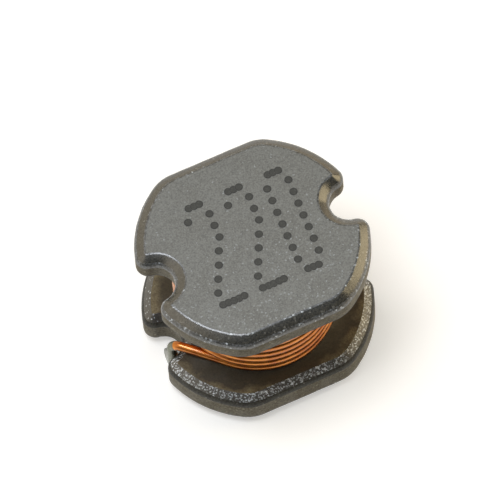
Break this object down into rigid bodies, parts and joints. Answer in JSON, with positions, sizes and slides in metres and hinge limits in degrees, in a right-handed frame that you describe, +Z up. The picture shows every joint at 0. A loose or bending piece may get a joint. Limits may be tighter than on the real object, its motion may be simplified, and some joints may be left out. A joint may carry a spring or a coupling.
{
  "type": "smd power inductor",
  "caption": "Unshielded surface-mount power inductor: a flat-sided, notched ferrite drum core wound with enamelled copper wire, with soldered terminal pads underneath.",
  "frame": {"origin": "centre of the underside, in the plane of the terminal pads", "axes": "+X along the core from notch to notch, +Y across the flat sides to the back, +Z up from the board"},
  "size_m": [0.0056, 0.0052, 0.0043],
  "materials": {
    "ferrite": "satin",
    "enamelled_copper": "gloss",
    "tinned_plating": "satin",
    "solder": "gloss"
  },
  "bodies": {
    "root": {"drum_core": "ferrite", "winding": "enamelled_copper", "right_terminal": "tinned_plating", "left_terminal": "tinned_plating", "right_solder": "solder", "left_solder": "solder"}
  },
  "joints": []
}
